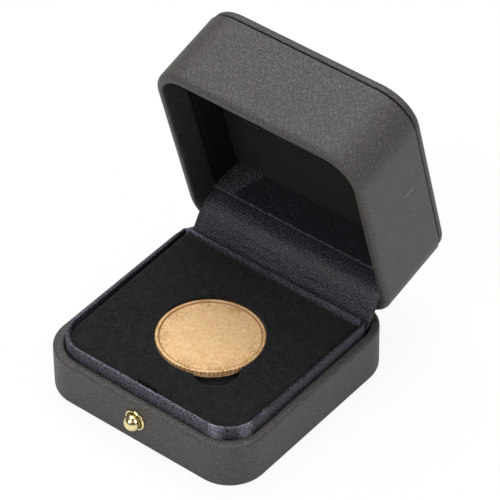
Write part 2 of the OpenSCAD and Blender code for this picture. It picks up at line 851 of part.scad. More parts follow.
base_shell();
base_wrap();
bottom_board();
collar_frame();
collar_satin();
pad_spacer();
coin_bed();
pad_board();
pad_velvet();
button_bezel();
bezel_washer();
button_spring();
hinge_base_leaf();
hinge_pin();
hinge_springs();
base_leaf_rivets();
hinge_strip();
push_button();
catch_plate();
stem_clip();
lid_shell();
lid_wrap();
top_panel_board();
top_panel_wrap();
lid_side_lining();
lid_pad_foam();
lid_pad_cover();
lid_rear_card();
lid_rear_satin();
hinge_lid_leaf();
lid_leaf_rivets();
strike_plate();
strike_rivets();
coin();
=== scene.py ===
import json
import math

import bmesh
import bpy
from mathutils import Matrix, Vector, noise


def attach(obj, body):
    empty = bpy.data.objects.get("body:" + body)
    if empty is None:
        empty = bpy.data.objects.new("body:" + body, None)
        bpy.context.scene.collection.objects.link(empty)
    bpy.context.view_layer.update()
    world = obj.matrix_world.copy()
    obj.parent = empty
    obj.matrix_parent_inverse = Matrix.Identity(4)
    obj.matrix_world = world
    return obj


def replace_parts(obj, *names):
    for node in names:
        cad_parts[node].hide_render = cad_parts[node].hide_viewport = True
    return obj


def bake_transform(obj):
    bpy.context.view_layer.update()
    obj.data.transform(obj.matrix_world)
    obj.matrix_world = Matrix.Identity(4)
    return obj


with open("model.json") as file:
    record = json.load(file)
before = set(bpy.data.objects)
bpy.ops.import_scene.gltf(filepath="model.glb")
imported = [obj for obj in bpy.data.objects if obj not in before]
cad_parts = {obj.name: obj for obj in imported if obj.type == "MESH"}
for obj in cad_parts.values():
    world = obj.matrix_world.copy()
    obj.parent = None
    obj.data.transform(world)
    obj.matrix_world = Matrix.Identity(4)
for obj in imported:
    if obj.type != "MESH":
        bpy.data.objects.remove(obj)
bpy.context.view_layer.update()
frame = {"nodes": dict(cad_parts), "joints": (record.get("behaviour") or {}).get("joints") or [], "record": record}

MM = 0.001
SAME_PLACE = 0.0001 * MM

# Camera, as the photograph was taken
CAMERA_AZIMUTH = 39.1
CAMERA_ELEVATION = 41.91
CAMERA_ROLL = -0.49
CAMERA_LENS = 257.6
CAMERA_PLACE = Vector((0.5792, -0.694, 0.8685))

# Sizes that the frame gives
hinge = next(j for j in frame["joints"] if j["name"] == "lid_hinge")
HINGE = Vector(hinge["pos_m"])
LID_OPEN = math.radians(hinge["range_deg"][1])
# Takes a point of the shut lid to its place on the open one
OPEN_LID = Matrix.Translation(HINGE) @ Matrix.Rotation(-LID_OPEN, 4, "X") @ Matrix.Translation(-HINGE)


def node_size(node, shut=False):
    """Lowest and highest corner of a CAD node, for a lid piece also with the lid shut."""
    place = OPEN_LID.inverted() if shut else Matrix.Identity(4)
    points = [place @ v.co for v in frame["nodes"][node].data.vertices]
    return [Vector([pick(p[k] for p in points) for k in range(3)]) for pick in (min, max)]


BASE_LOW, BASE_HIGH = node_size("base_wrap")
HALF_W = BASE_HIGH.x
FRONT, BACK = BASE_LOW.y, BASE_HIGH.y
FOOT_Z, BASE_H = BASE_LOW.z, BASE_HIGH.z
LID_LOW, LID_HIGH = node_size("lid_wrap", shut=True)
RIM_Z, PANEL_Z = LID_LOW.z, LID_HIGH.z
PANEL_HIGH = node_size("top_panel_wrap", shut=True)[1]
LINING_LOW, LINING_HIGH = node_size("lid_side_lining", shut=True)
LID_PAD_LOW, LID_PAD_HIGH = node_size("lid_pad_cover", shut=True)
CARD_LOW = node_size("lid_rear_satin", shut=True)[0]
COLLAR_LOW, COLLAR_HIGH = node_size("collar_satin")
VELVET_LOW, VELVET_HIGH = node_size("pad_velvet")
COIN_LOW, COIN_HIGH = node_size("coin")
BEZEL_LOW, BEZEL_HIGH = node_size("button_bezel")
BUTTON_LOW, BUTTON_HIGH = node_size("push_button")
STRIP_LOW, STRIP_HIGH = node_size("hinge_strip")
BALL_R = (BUTTON_HIGH.x - BUTTON_LOW.x) / 2

# Sizes of the coverings
CORNER_R = 14.5 * MM
WALL = 3.5 * MM
LEATHER = 0.7 * MM
FOOT_R = 1.6 * MM
BASE_RIM_R = 1.2 * MM
LID_RIM_R = 2.4 * MM
INNER_RIM_R = 0.9 * MM
SHOULDER_R = 0.5 * MM
TURN_UNDER = 5 * MM
TURN_OVER = 6 * MM
FLOOR_Z = 2.9 * MM
PANEL_R = 2.4 * MM
PANEL_SEAM_R = 0.45 * MM
SEAM_SLIT = 0.7 * MM
SEAM_DEPTH = 2.4 * MM
PANEL_TURN = 8 * MM
COLLAR_T = 1.3 * MM
COLLAR_FRONT_R = 12.2 * MM
COLLAR_REAR_R = 2 * MM
HINGE_NOTCH_HALF = 31 * MM
HINGE_NOTCH_ENDS = (HINGE_NOTCH_HALF, HINGE_NOTCH_HALF + 0.05 * MM)
LID_NOTCH_Z = HINGE.z + 2 * MM
SECTION_STEP = 1.6 * MM
SCUFF_Y = -7.3 * MM
SCUFF_Z = (38.2 * MM, 43.9 * MM)

# Sizes of the pad, the coin and the button
PAD_FRONT_R = 10.3 * MM
PAD_REAR_R = 1 * MM
PAD_EDGE_R = 1 * MM
PAD_OUTLINE = (VELVET_HIGH.x, VELVET_LOW.y, VELVET_HIGH.y, PAD_FRONT_R, PAD_REAR_R)
COIN_R = (COIN_HIGH.x - COIN_LOW.x) / 2
COIN_X = (COIN_HIGH.x + COIN_LOW.x) / 2 + 0.4 * MM
COIN_Y = (COIN_HIGH.y + COIN_LOW.y) / 2 + 0.2 * MM
HOLE_R = COIN_R + 0.2 * MM
HOLE_EDGE_R = 0.45 * MM
NOTCH_R = 8.1 * MM
NOTCH_AT = 17.25 * MM
NOTCH_DIR = math.radians(-44.4)
CATCH_HALF = 4.5 * MM
CATCH_REACH = 2.05 * MM
COIN_T = 2.6 * MM
COIN_REEDS = 80
COIN_FIELD_R = COIN_R - 1.3 * MM
COIN_TOP = COIN_HIGH.z - 0.25 * MM
COIN_LEAN = math.radians(2.6)
COIN_TIP = math.radians(-0.4)
CUP_DEPTH = 1.1 * MM
BUTTON_SHIFT = 0.4 * MM


# Mesh helpers

def add_mesh(name, points, faces, body, uvs=None, place=None):
    """A smooth mesh piece that rides on a body, if one is named.
    uvs holds a place per corner of each face, in metres."""
    mesh = bpy.data.meshes.new(name)
    if place is not None:
        points = [place @ Vector(p) for p in points]
    mesh.from_pydata([tuple(p) for p in points], [], faces)
    if uvs is not None:
        layer = mesh.uv_layers.new(name="cloth")
        for k, corner in enumerate(corner for face in uvs for corner in face):
            layer.data[k].uv = corner
    mesh.polygons.foreach_set("use_smooth", [True] * len(mesh.polygons))
    mesh.update()
    piece = bpy.data.objects.new(name, mesh)
    bpy.context.scene.collection.objects.link(piece)
    if body:
        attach(piece, body)
    return piece


def finish_normals(piece, join=0):
    """Turns the faces of a piece outwards, after joining points that lie no further apart than join."""
    shape = bmesh.new()
    shape.from_mesh(piece.data)
    if join:
        bmesh.ops.remove_doubles(shape, verts=shape.verts, dist=join)
    bmesh.ops.recalc_face_normals(shape, faces=shape.faces)
    shape.to_mesh(piece.data)
    shape.free()


def ring_faces(turns, m, first=0, closed=False):
    """Faces between columns of m points that stand in a ring. first is the number of the first point,
    and closed joins the end of each column to its start."""
    faces = []
    for i in range(turns):
        a, b = first + i * m, first + (i + 1) % turns * m
        faces += [(a + j, b + j, b + j + 1, a + j + 1) for j in range(m - 1)]
        if closed:
            faces.append((a + m - 1, b + m - 1, b, a))
    return faces


def sheet_faces(columns, width, lengths):
    """Faces and cloth places of a sheet with two sides and a rim between them.
    Its points go column by column, first on one side and then on the other."""
    m, n = len(lengths), columns + 1
    faces, uvs = [], []
    for side in range(2):
        for i in range(columns):
            a = (side * n + i) * m
            u0, u1 = width * i / columns, width * (i + 1) / columns
            for k in range(m - 1):
                v0, v1 = lengths[k], lengths[k + 1]
                faces.append((a + k, a + m + k, a + m + k + 1, a + k + 1))
                uvs.append([(u0, v0), (u1, v0), (u1, v1), (u0, v1)])
    rim = [i * m for i in range(n)] + [(n - 1) * m + k for k in range(1, m)]
    rim += [i * m + m - 1 for i in range(n - 2, -1, -1)] + list(range(m - 2, 0, -1))
    for a, b in zip(rim, rim[1:] + rim[:1]):
        faces.append((a, b, n * m + b, n * m + a))
        uvs.append([(0, 0)] * 4)
    return faces, uvs


def between(a, b, share):
    """The place at a share of the way from a to b."""
    return tuple(p + (q - p) * share for p, q in zip(a, b))


def arc(t, z, r, start, end, steps=6):
    """Points of an arc in a section, angles in degrees."""
    turn = [math.radians(start + (end - start) * k / steps) for k in range(steps + 1)]
    return [(t + r * math.cos(a), z + r * math.sin(a)) for a in turn]


def filled_in(path, step):
    """The path with points added so that none are further apart than step, and repeated ones left out."""
    out = [path[0]]
    for a, b in zip(path, path[1:]):
        length = math.dist(a, b)
        if length > SAME_PLACE:
            count = math.ceil(length / step)
            out += [between(a, b, k / count) for k in range(1, count + 1)]
    return out


def skin_loop(path, thickness):
    """A closed section: the path, and back along its inside, which lies to the path's right."""
    inside = []
    for k, (t, z) in enumerate(path):
        a, b = path[max(k - 1, 0)], path[min(k + 1, len(path) - 1)]
        share = thickness / math.dist(a, b)
        inside.append((t + (b[1] - a[1]) * share, z - (b[0] - a[0]) * share))
    return path + inside[::-1]


def outline(x, y0, y1, front_r, rear_r, step=2.5 * MM, rear_x=()):
    """Stations round a rounded outline, from the middle of the front: place, inward normal and length so far.
    rear_x holds distances from the middle at which the rear corners get one more station each."""
    corner_steps = 18
    corners = [(x - front_r, y0 + front_r, front_r, -90), (x - rear_r, y1 - rear_r, rear_r, 0),
               (rear_r - x, y1 - rear_r, rear_r, 90), (front_r - x, y0 + front_r, front_r, 180)]
    places = [((0, y0), (0, 1))]
    for cx, cy, r, start in corners:
        turns = [math.radians(start + 90 * k / corner_steps) for k in range(corner_steps + 1)]
        if start in (0, 90):
            turns += [math.acos((math.copysign(e, cx) - cx) / r) for e in rear_x]
        for a in sorted(turns):
            places.append(((cx + r * math.cos(a), cy + r * math.sin(a)), (-math.cos(a), -math.sin(a))))
    places.append(((0, y0), (0, 1)))
    out, length = [], 0
    for (p, n), (q, m) in zip(places, places[1:]):
        span = math.dist(p, q)
        parts = max(1, math.ceil(span / step))
        for share in (k / parts for k in range(parts)):
            normal = Vector(between(n, m, share)).normalized()
            out.append((between(p, q, share), (normal.x, normal.y), length + span * share))
        length += span
    return out, length


def swept(name, loop, stations, total, body, place=None, shape=None):
    """Sweeps a closed section of insets and heights round an outline.
    shape may move a point of the surface."""
    points, faces, uvs = [], [], []
    for p, normal, length in stations:
        for j, (t, z) in enumerate(loop):
            point = Vector((p[0] + normal[0] * t, p[1] + normal[1] * t, z))
            points.append(shape(point, j, length) if shape else point)
    lengths = [length for _, _, length in stations] + [total]
    along = [0]
    for a, b in zip(loop, loop[1:] + loop[:1]):
        along.append(along[-1] + math.dist(a, b))
    n, m = len(stations), len(loop)
    for i in range(n):
        a, b = i * m, (i + 1) % n * m
        u0, u1 = lengths[i], lengths[i + 1]
        for j in range(m):
            k = (j + 1) % m
            v0, v1 = along[j], along[j + 1]
            faces.append((a + j, a + k, b + k, b + j))
            uvs.append([(u0, v0), (u0, v1), (u1, v1), (u1, v0)])
    piece = add_mesh(name, points, faces, body, uvs, place)
    finish_normals(piece)
    return piece


def lathe(name, profile, steps, body, place, radius=None):
    """Turns a profile of radii and heights round Z. radius may change a radius by height and angle."""
    points = []
    for i in range(steps):
        a = 2 * math.pi * i / steps
        for r, z in profile:
            r = radius(r, z, a) if radius else r
            points.append((r * math.cos(a), r * math.sin(a), z))
    piece = add_mesh(name, points, ring_faces(steps, len(profile)), body, None, place)
    finish_normals(piece, join=0.001 * MM)
    return piece


def uneven(point, amount, size, seed=0.0):
    """A smooth offset along a surface's normal, for what is wrapped by hand."""
    return amount * noise.noise(Vector(point) / size + Vector((seed, seed * 1.7, seed * 2.3)))


# Material helpers

class Shader:
    """A new material with its Principled shader and short calls for the nodes before it."""

    def __init__(self, name, **values):
        self.material = bpy.data.materials.new(name)
        self.material.use_nodes = True
        self.nodes = self.material.node_tree.nodes
        self.links = self.material.node_tree.links
        self.surface = self.nodes["Principled BSDF"]
        self.object_place = self.nodes.new("ShaderNodeTexCoord").outputs["Object"]
        self.cloth_place = self.nodes.new("ShaderNodeUVMap").outputs["UV"]
        self.set(**values)

    def set(self, **values):
        """Sets or links inputs of the Principled shader, by name."""
        for key, value in values.items():
            self.put(value, self.surface.inputs[key.replace("_", " ")])

    def put(self, value, socket):
        """Links an output to a socket, or writes a number, a place or a colour into it."""
        if isinstance(value, bpy.types.NodeSocket):
            self.links.new(value, socket)
        elif socket.type == "RGBA":
            socket.default_value = (*value, 1)
        else:
            socket.default_value = value

    def node(self, kind, inputs, **values):
        """A new node with its settings and inputs, the inputs by name or number."""
        made = self.nodes.new("ShaderNode" + kind)
        for key, value in values.items():
            setattr(made, key, value)
        for key, value in inputs.items():
            self.put(value, made.inputs[key])
        return made

    def mapped(self, place, size, turn=(0, 0, 0), centre=(0, 0, 0)):
        """A place counted in steps of size along each axis, from a centre and turned about it."""
        inputs = {"Vector": place or self.object_place, "Location": centre, "Rotation": turn, "Scale": size}
        return self.node("Mapping", inputs, vector_type="TEXTURE").outputs[0]

    def noise(self, size, detail=3, rough=0.5, stretch=(1, 1, 1), place=None, turn=0):
        """Noise whose features are about size metres, stretched along an axis where stretch is below 1."""
        place = self.mapped(place, [size / s for s in stretch], (0, 0, math.radians(turn)))
        inputs = {"Vector": place, "Scale": 1, "Detail": detail, "Roughness": rough}
        return self.node("TexNoise", inputs).outputs["Fac"]

    def cells(self, size, place=None):
        """Distance from the middle of the nearest cell, for cells of about size metres."""
        inputs = {"Vector": self.mapped(place, (size,) * 3), "Scale": 1}
        return self.node("TexVoronoi", inputs).outputs["Distance"]

    def rows(self, pitch):
        """A wave for each row of thread across the cloth's length."""
        return self.math("SINE", self.times(self.split(self.cloth_place)[1], 2 * math.pi / pitch))

    def spot(self, centre, size, turn, soft):
        """1 inside a turned ellipsoid of half-lengths size, fading to 0 at its surface."""
        reach = self.node("VectorMath", {0: self.mapped(None, size, turn, centre)}, operation="LENGTH")
        return self.spread(reach.outputs["Value"], 1, 1 - soft)

    def split(self, place):
        """The three parts of a place."""
        return self.node("SeparateXYZ", {0: place}).outputs

    def math(self, operation, a, b=0.0):
        """One operation on one or two values."""
        return self.node("Math", {0: a, 1: b}, operation=operation).outputs[0]

    def times(self, a, b):
        """One value times another."""
        return self.math("MULTIPLY", a, b)

    def sum_of(self, *terms):
        """The sum of values that are each multiplied by a weight."""
        total = 0.0
        for value, weight in terms:
            total = self.math("ADD", total, self.times(value, weight))
        return total

    def spread(self, value, low, high, out_low=0.0, out_high=1.0):
        """Takes low to out_low and high to out_high, and holds what lies beyond them."""
        inputs = {"Value": value, "From Min": low, "From Max": high, "To Min": out_low, "To Max": out_high}
        return self.node("MapRange", inputs).outputs["Result"]

    def blend(self, factor, a, b):
        """A colour from a to b."""
        return self.node("Mix", {"Factor": factor, "A": a, "B": b}, data_type="RGBA").outputs["Result"]

    def bump(self, height, depth, strength, under=None):
        """A relief of depth metres, over another one if under names it."""
        inputs = {"Height": height, "Distance": depth, "Strength": strength}
        if under is not None:
            inputs["Normal"] = under
        return self.node("Bump", inputs).outputs["Normal"]


def grey(value):
    """A neutral colour."""
    return (value, value, value)


def leatherette():
    """Fine-grained matt leatherette, warm grey, with painted glints on its grain, dust and one scuff on the lid.
    """
    m = Shader("leatherette", Specular_IOR_Level=0.5)
    grain = m.cells(0.65 * MM)
    fine = m.noise(0.45 * MM, 1)
    patches = m.noise(6 * MM)
    tone = m.sum_of((fine, 0.55), (m.spread(grain, 0.1, 0.75), 0.55), (patches, 0.06))
    colour = m.blend(m.spread(tone, 0.3, 0.85), (0.027, 0.0245, 0.0223), (0.07, 0.0636, 0.058))
    # Painted highlight: small light dots stand for glints of light on the tops of the grain.
    painted_grain_glints = m.spread(m.cells(1.1 * MM), 0.34, 0.1)
    colour = m.blend(m.times(painted_grain_glints, 0.35), colour, (0.2, 0.19, 0.18))
    dust = m.math("LESS_THAN", m.cells(7 * MM), 0.03)
    colour = m.blend(m.times(dust, 0.6), colour, (0.5, 0.49, 0.47))
    low, high = (OPEN_LID @ Vector((HALF_W, SCUFF_Y, z)) for z in SCUFF_Z)
    scuff_size = (0.6 * MM, 0.25 * MM, (high - low).length * 0.6)
    scuff = m.spot((low + high) / 2, scuff_size, (-LID_OPEN, 0, 0), 0.5)
    colour = m.blend(m.times(scuff, m.spread(fine, 0.4, 0.6, 0.4, 0.8)), colour, (0.4, 0.39, 0.37))
    m.set(Base_Color=colour, Roughness=m.spread(fine, 0.3, 0.7, 0.42, 0.62))
    height = m.sum_of((m.spread(grain, 0, 0.7), 1), (fine, 0.7))
    m.set(Normal=m.bump(height, 0.14 * MM, 1, m.bump(m.noise(9 * MM, 2), 0.12 * MM, 0.5)))
    return m.material


def satin(name, crumple, painted_light_level):
    """Dark blue-grey satin that shines across its bow, with fine slubs, faint rows of thread and painted glints on
    its threads.
    crumple is the height of its creases in metres, and crumpled satin has a frayed hem and a painted highlight on
    its lower fold. The last argument scales the cloth's colour; below 1 it gives a darker copy that is painted
    shade."""
    m = Shader(name, Specular_IOR_Level=0.3, Anisotropic=0.6, Sheen_Weight=0.05, Sheen_Roughness=0.4)
    slubs = m.noise(0.48 * MM, 2, 0.7, (0.6, 1, 1), m.cloth_place)
    tone = m.sum_of((slubs, 1), (m.rows(1.05 * MM), 0.035))
    # Colour of the lightest threads, darkened in the copy for the rear card as painted shade.
    light = (0.07 * painted_light_level, 0.071 * painted_light_level, 0.088 * painted_light_level)
    if crumple:
        light = frayed_hem_and_painted_fold_light(m, slubs, light)
    # Painted highlight: light dots stand for glints of light on single threads.
    painted_thread_glints = m.spread(m.cells(0.95 * MM, m.cloth_place), 0.26, 0.16, 0, 0.55 * painted_light_level)
    light = m.blend(painted_thread_glints, light, (0.32, 0.32, 0.37))
    finish_cloth(m, tone, (0.001, 0.001, 0.002), light, 0.09 * MM, crumple)
    m.set(Roughness=m.spread(slubs, 0.35, 0.65, 0.36, 0.5))
    return m.material


def frayed_hem_and_painted_fold_light(m, slubs, light):
    """Lighter threads on the folded hem at its left end, where it is frayed, and a painted highlight along the
    turn under the rear card.
    """
    along, up, _ = m.split(m.cloth_place)
    # Painted highlight: the turn under the card's lower edge is lightened as if it caught the light.
    fold = m.math("LESS_THAN", up, 0)
    hem = m.spread(m.math("SUBTRACT", along, m.times(up, 0.25)), 8.7 * MM, 8.3 * MM, 0, 0.6)
    # Mixes the frayed hem with the painted highlight on the turn under the card.
    worn = m.times(m.math("MAXIMUM", fold, hem), m.spread(slubs, 0.42, 0.58))
    return m.blend(worn, light, (0.2, 0.2, 0.225))


def shiny_satin():
    """The same cloth with its threads along the collar, so that it shines in upright bands at the corners."""
    m = Shader("shiny_satin", Metallic=0.93, Anisotropic=1, Anisotropic_Rotation=0.25)
    slubs = m.noise(0.32 * MM, 2, 0.7, (0.3, 1, 1), m.cloth_place, 30)
    finish_cloth(m, slubs, (0.02, 0.02, 0.026), (0.29, 0.29, 0.352), 0.01 * MM)
    m.set(Roughness=m.spread(slubs, 0.35, 0.65, 0.46, 0.56))
    return m.material


def finish_cloth(m, tone, dark, light, relief, crumple=0):
    """Colour of a cloth from the tone of its threads, and their relief and creases, in metres."""
    m.set(Tangent=m.node("Tangent", {}, direction_type="UV_MAP").outputs[0])
    m.set(Base_Color=m.blend(m.spread(tone, 0.4, 0.61), dark, light))
    wide = m.noise(2.4 * MM, 2, 0.5, (0.3, 1, 1), m.cloth_place)
    m.set(Normal=m.bump(tone, relief, 0.8, m.bump(wide, 0.9 * relief + crumple, 0.6)))


def velvet():
    """Black velvet: matt pile that lightens at grazing angles, finely mottled, with lint."""
    m = Shader("velvet", Roughness=0.95, Specular_IOR_Level=0.12, Sheen_Weight=0.3, Sheen_Roughness=0.45,
               Sheen_Tint=(0.62, 0.6, 0.6))
    pile = m.noise(0.6 * MM, 2, 0.6)
    brushed = m.noise(3.2 * MM, 4, 0.6)
    tone = m.sum_of((pile, 0.85), (brushed, 0.35))
    colour = m.blend(m.spread(tone, 0.42, 0.8), grey(0.001), (0.0235, 0.023, 0.023))
    lint = m.math("LESS_THAN", m.cells(3.1 * MM), 0.022)
    m.set(Base_Color=m.blend(m.times(lint, 0.5), colour, (0.3, 0.3, 0.29)))
    m.set(Normal=m.bump(pile, 0.16 * MM, 0.8, m.bump(brushed, 0.2 * MM, 0.5)))
    return m.material


def suede():
    """Dark olive suede with a short nap."""
    m = Shader("suede", Roughness=0.9, Specular_IOR_Level=0.15, Sheen_Weight=0.1, Sheen_Roughness=0.5)
    nap = m.noise(0.5 * MM, 3, 0.6)
    worn = m.noise(7 * MM, 3, 0.55)
    tone = m.sum_of((nap, 0.6), (worn, 0.6))
    m.set(Base_Color=m.blend(m.spread(tone, 0.4, 0.8), (0.001, 0.001, 0.0008), (0.0066, 0.0066, 0.0052)))
    m.set(Normal=m.bump(nap, 0.12 * MM, 0.7))
    return m.material


def lining():
    """Dark lining paper with a faint fibre."""
    m = Shader("lining", Roughness=0.8, Specular_IOR_Level=0.25)
    fibre = m.noise(0.5 * MM, 3, 0.6, (1, 0.3, 1))
    m.set(Base_Color=m.blend(m.spread(fibre, 0.3, 0.7), grey(0.012), grey(0.018)))
    m.set(Normal=m.bump(fibre, 0.05 * MM, 0.6))
    return m.material


def polished_gold():
    """Bright brass plating with faint handling marks."""
    m = Shader("polished_gold", Metallic=1)
    marks = m.noise(0.6 * MM, 3, 0.6)
    m.set(Base_Color=m.blend(m.spread(marks, 0.3, 0.7), (0.83, 0.68, 0.32), (0.93, 0.82, 0.46)))
    m.set(Roughness=m.spread(marks, 0.3, 0.75, 0.15, 0.25))
    m.set(Normal=m.bump(marks, 0.01 * MM, 0.3))
    return m.material


def bronze():
    """Handled bronze: satin metal, mottled, with brown stains where it is touched less, close to the rim.
    The line round the field and the grooves of the reeds are darkened with painted shade."""
    # Colour of the painted shade in the hollow round the field and between the reeds.
    dark = (0.3, 0.14, 0.045)
    m = Shader("bronze", Metallic=0.1, Specular_IOR_Level=0.45)
    mottle = m.noise(1.5 * MM, 5, 0.7)
    stain = m.noise(7 * MM, 3, 0.55)
    fine = m.noise(0.8 * MM, 3, 0.65)
    centre = (COIN_X, COIN_Y, COIN_HIGH.z)
    from_centre = m.node("VectorMath", {0: m.object_place, 1: centre}, operation="DISTANCE").outputs["Value"]
    tone = m.spread(m.sum_of((mottle, 0.85), (stain, 0.2)), 0.38, 0.68)
    colour = m.blend(tone, (0.88, 0.51, 0.22), (1, 0.72, 0.405))
    near_rim = m.spread(from_centre, 0.62 * COIN_R, COIN_FIELD_R)
    spots = m.times(near_rim, m.spread(m.sum_of((stain, 1), (fine, 1.3)), 1.1, 1.34))
    colour = m.blend(m.times(spots, 0.8), colour, (0.46, 0.22, 0.07))
    # Painted shade: a dark line in the hollow where the field meets the rim.
    in_field = m.math("LESS_THAN", from_centre, COIN_FIELD_R + 0.15 * MM)
    line = m.times(in_field, m.spread(from_centre, COIN_FIELD_R - 0.5 * MM, COIN_FIELD_R - 0.1 * MM))
    colour = m.blend(m.times(line, 0.9), colour, dark)
    x, y, _ = m.split(m.object_place)
    angle = m.math("ARCTAN2", m.math("SUBTRACT", y, COIN_Y), m.math("SUBTRACT", x, COIN_X))
    # Painted shade: the grooves between the reeds are darkened.
    between_reeds = m.spread(m.math("COSINE", m.times(angle, COIN_REEDS)), 0, -0.8)
    painted_groove_shade = m.times(between_reeds, m.math("GREATER_THAN", from_centre, COIN_R - 0.3 * MM))
    m.set(Base_Color=m.blend(m.times(painted_groove_shade, 0.35), colour, dark))
    on_rim = m.spread(from_centre, COIN_FIELD_R, COIN_FIELD_R + 0.3 * MM, 1, 0.6)
    m.set(Roughness=m.times(m.spread(fine, 0.3, 0.7, 0.38, 0.55), on_rim))
    m.set(Normal=m.bump(fine, 0.03 * MM, 0.6, m.bump(mottle, 0.05 * MM, 0.5)))
    return m.material


def steel(name, tone, rough):
    """Sheet steel, zinc plated or blackened, with a fine brushed grain."""
    m = Shader(name, Metallic=1)
    brush = m.noise(0.3 * MM, 3, 0.6, (0.1, 1, 1))
    m.set(Base_Color=m.blend(m.spread(brush, 0.3, 0.7), grey(0.84 * tone), grey(1.16 * tone)))
    m.set(Roughness=m.spread(brush, 0.3, 0.7, 0.8 * rough, 1.25 * rough))
    m.set(Normal=m.bump(brush, 0.01 * MM, 0.4))
    return m.material


def board():
    """Grey card with short fibres."""
    m = Shader("grey_card", Roughness=0.9, Specular_IOR_Level=0.2)
    fibre = m.noise(0.7 * MM, 4, 0.65, (1, 0.25, 1))
    m.set(Base_Color=m.blend(m.spread(fibre, 0.3, 0.7), (0.2, 0.18, 0.15), (0.36, 0.33, 0.28)))
    m.set(Normal=m.bump(fibre, 0.06 * MM, 0.6))
    return m.material


def moulding():
    """Matt black moulded plastic with a fine spark-eroded texture."""
    m = Shader("black_moulding", Roughness=0.6, Specular_IOR_Level=0.4)
    texture = m.noise(0.25 * MM, 3, 0.6)
    m.set(Base_Color=m.blend(texture, grey(0.012), grey(0.022)))
    m.set(Normal=m.bump(texture, 0.02 * MM, 0.6))
    return m.material


def foam():
    """Dark open foam."""
    m = Shader("foam", Roughness=1, Specular_IOR_Level=0.1)
    pores = m.cells(0.8 * MM)
    m.set(Base_Color=m.blend(m.spread(pores, 0.1, 0.6), grey(0.02), grey(0.07)))
    m.set(Normal=m.bump(pores, 0.3 * MM, 0.8))
    return m.material


LEATHERETTE = leatherette()
SATIN = satin("satin", crumple=0, painted_light_level=1)
# The same satin made darker for the rear card inside the lid: painted shade.
CRUMPLED_SATIN = satin("crumpled_satin", crumple=0.25 * MM, painted_light_level=0.55)
SHINY_SATIN = shiny_satin()
VELVET = velvet()
SUEDE = suede()
LINING = lining()
GOLD = polished_gold()
BRONZE = bronze()
SLOT_FINISH = {
    "leatherette": LEATHERETTE, "satin": SATIN, "velvet": VELVET, "suede": SUEDE, "lining": LINING,
    "gold": GOLD, "bronze": BRONZE, "card": board(), "moulding": moulding(), "foam": foam(),
    "steel": steel("zinc_plated_steel", tone=0.5, rough=0.38),
    "black_steel": steel("blackened_steel", tone=0.02, rough=0.6)}


def finish_frame():
    """Gives each CAD node that stays the finish of its slot."""
    for part in frame["record"]["subparts"]:
        data = frame["nodes"][part["node"]].data
        data.materials.clear()
        data.materials.append(SLOT_FINISH[part["material_slot"]])


def dress(piece, material):
    """Gives a piece its material and returns it."""
    piece.data.materials.append(material)
    return piece


# Leatherette

def rear_relief(point, in_notch):
    """Height of the base's rear rim where the open lid and the hinge need room."""
    reach, run, depth, notch_depth = 3.2 * MM, 1.1 * MM, 1.3 * MM, 1.2 * MM
    if in_notch:
        return BASE_H - notch_depth
    share = min(1, max(0, (point.y - BACK + reach) / run))
    return BASE_H + 0.1 * MM - depth * share


def box_outline(rear_x=()):
    """Stations round the outside of the box."""
    return outline(HALF_W, FRONT, BACK, CORNER_R, CORNER_R, rear_x=rear_x)


def at_hinge(length, total):
    """Whether a station of the box's outline lies in the notch for the hinge."""
    return abs(length - total / 2) < HINGE_NOTCH_HALF + 0.01 * MM


def wrap_wave(point, size, seed):
    """A small offset in or out of a wall, for leatherette that is pulled round by hand."""
    return uneven(point, 0.05 * MM, size, seed) * Vector((point.x, point.y, 0)).normalized()


def fuller_corner(point):
    """Moves the inside of the wall inwards at the front corners, to follow the collar's rounder ones."""
    fullness = 1.6 * MM
    centre = Vector((math.copysign(HALF_W - CORNER_R, point.x), FRONT + CORNER_R, point.z))
    out = point - centre
    if abs(point.x) < abs(centre.x) or point.y > centre.y:
        return Vector((0, 0, 0))
    depth = CORNER_R - out.length
    share = min(1, max(0, (depth - BASE_RIM_R) / (WALL - INNER_RIM_R - BASE_RIM_R)))
    out.normalize()
    return -fullness * (abs(out.x) + abs(out.y) - 1) * share * out


def base_leatherette():
    """Leatherette over the base: under the foot, up the wall, over the rim and down its inside."""
    path = filled_in(
        [(TURN_UNDER, FOOT_Z)]
        + arc(FOOT_R, FOOT_Z + FOOT_R, FOOT_R, -90, -180)
        + arc(BASE_RIM_R, BASE_H - BASE_RIM_R, BASE_RIM_R, 180, 90)
        + arc(WALL - INNER_RIM_R, BASE_H - INNER_RIM_R, INNER_RIM_R, 90, 0)
        + [(WALL, FLOOR_Z)], SECTION_STEP)
    loop = skin_loop(path, LEATHER)
    stations, total = box_outline(HINGE_NOTCH_ENDS)
    count = len(path)

    def shape(point, j, length):
        top = rear_relief(point, at_hinge(length, total)) - (0 if j < count else LEATHER)
        point.z = min(point.z, top)
        point += fuller_corner(point)
        if 0 < j < count - 1 and FOOT_Z + 1 * MM < point.z < BASE_H - 0.8 * MM:
            point += wrap_wave(point, 14 * MM, 0)
        return point

    piece = swept("base_leatherette", loop, stations, total, "base", None, shape)
    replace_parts(dress(piece, LEATHERETTE), "base_wrap")


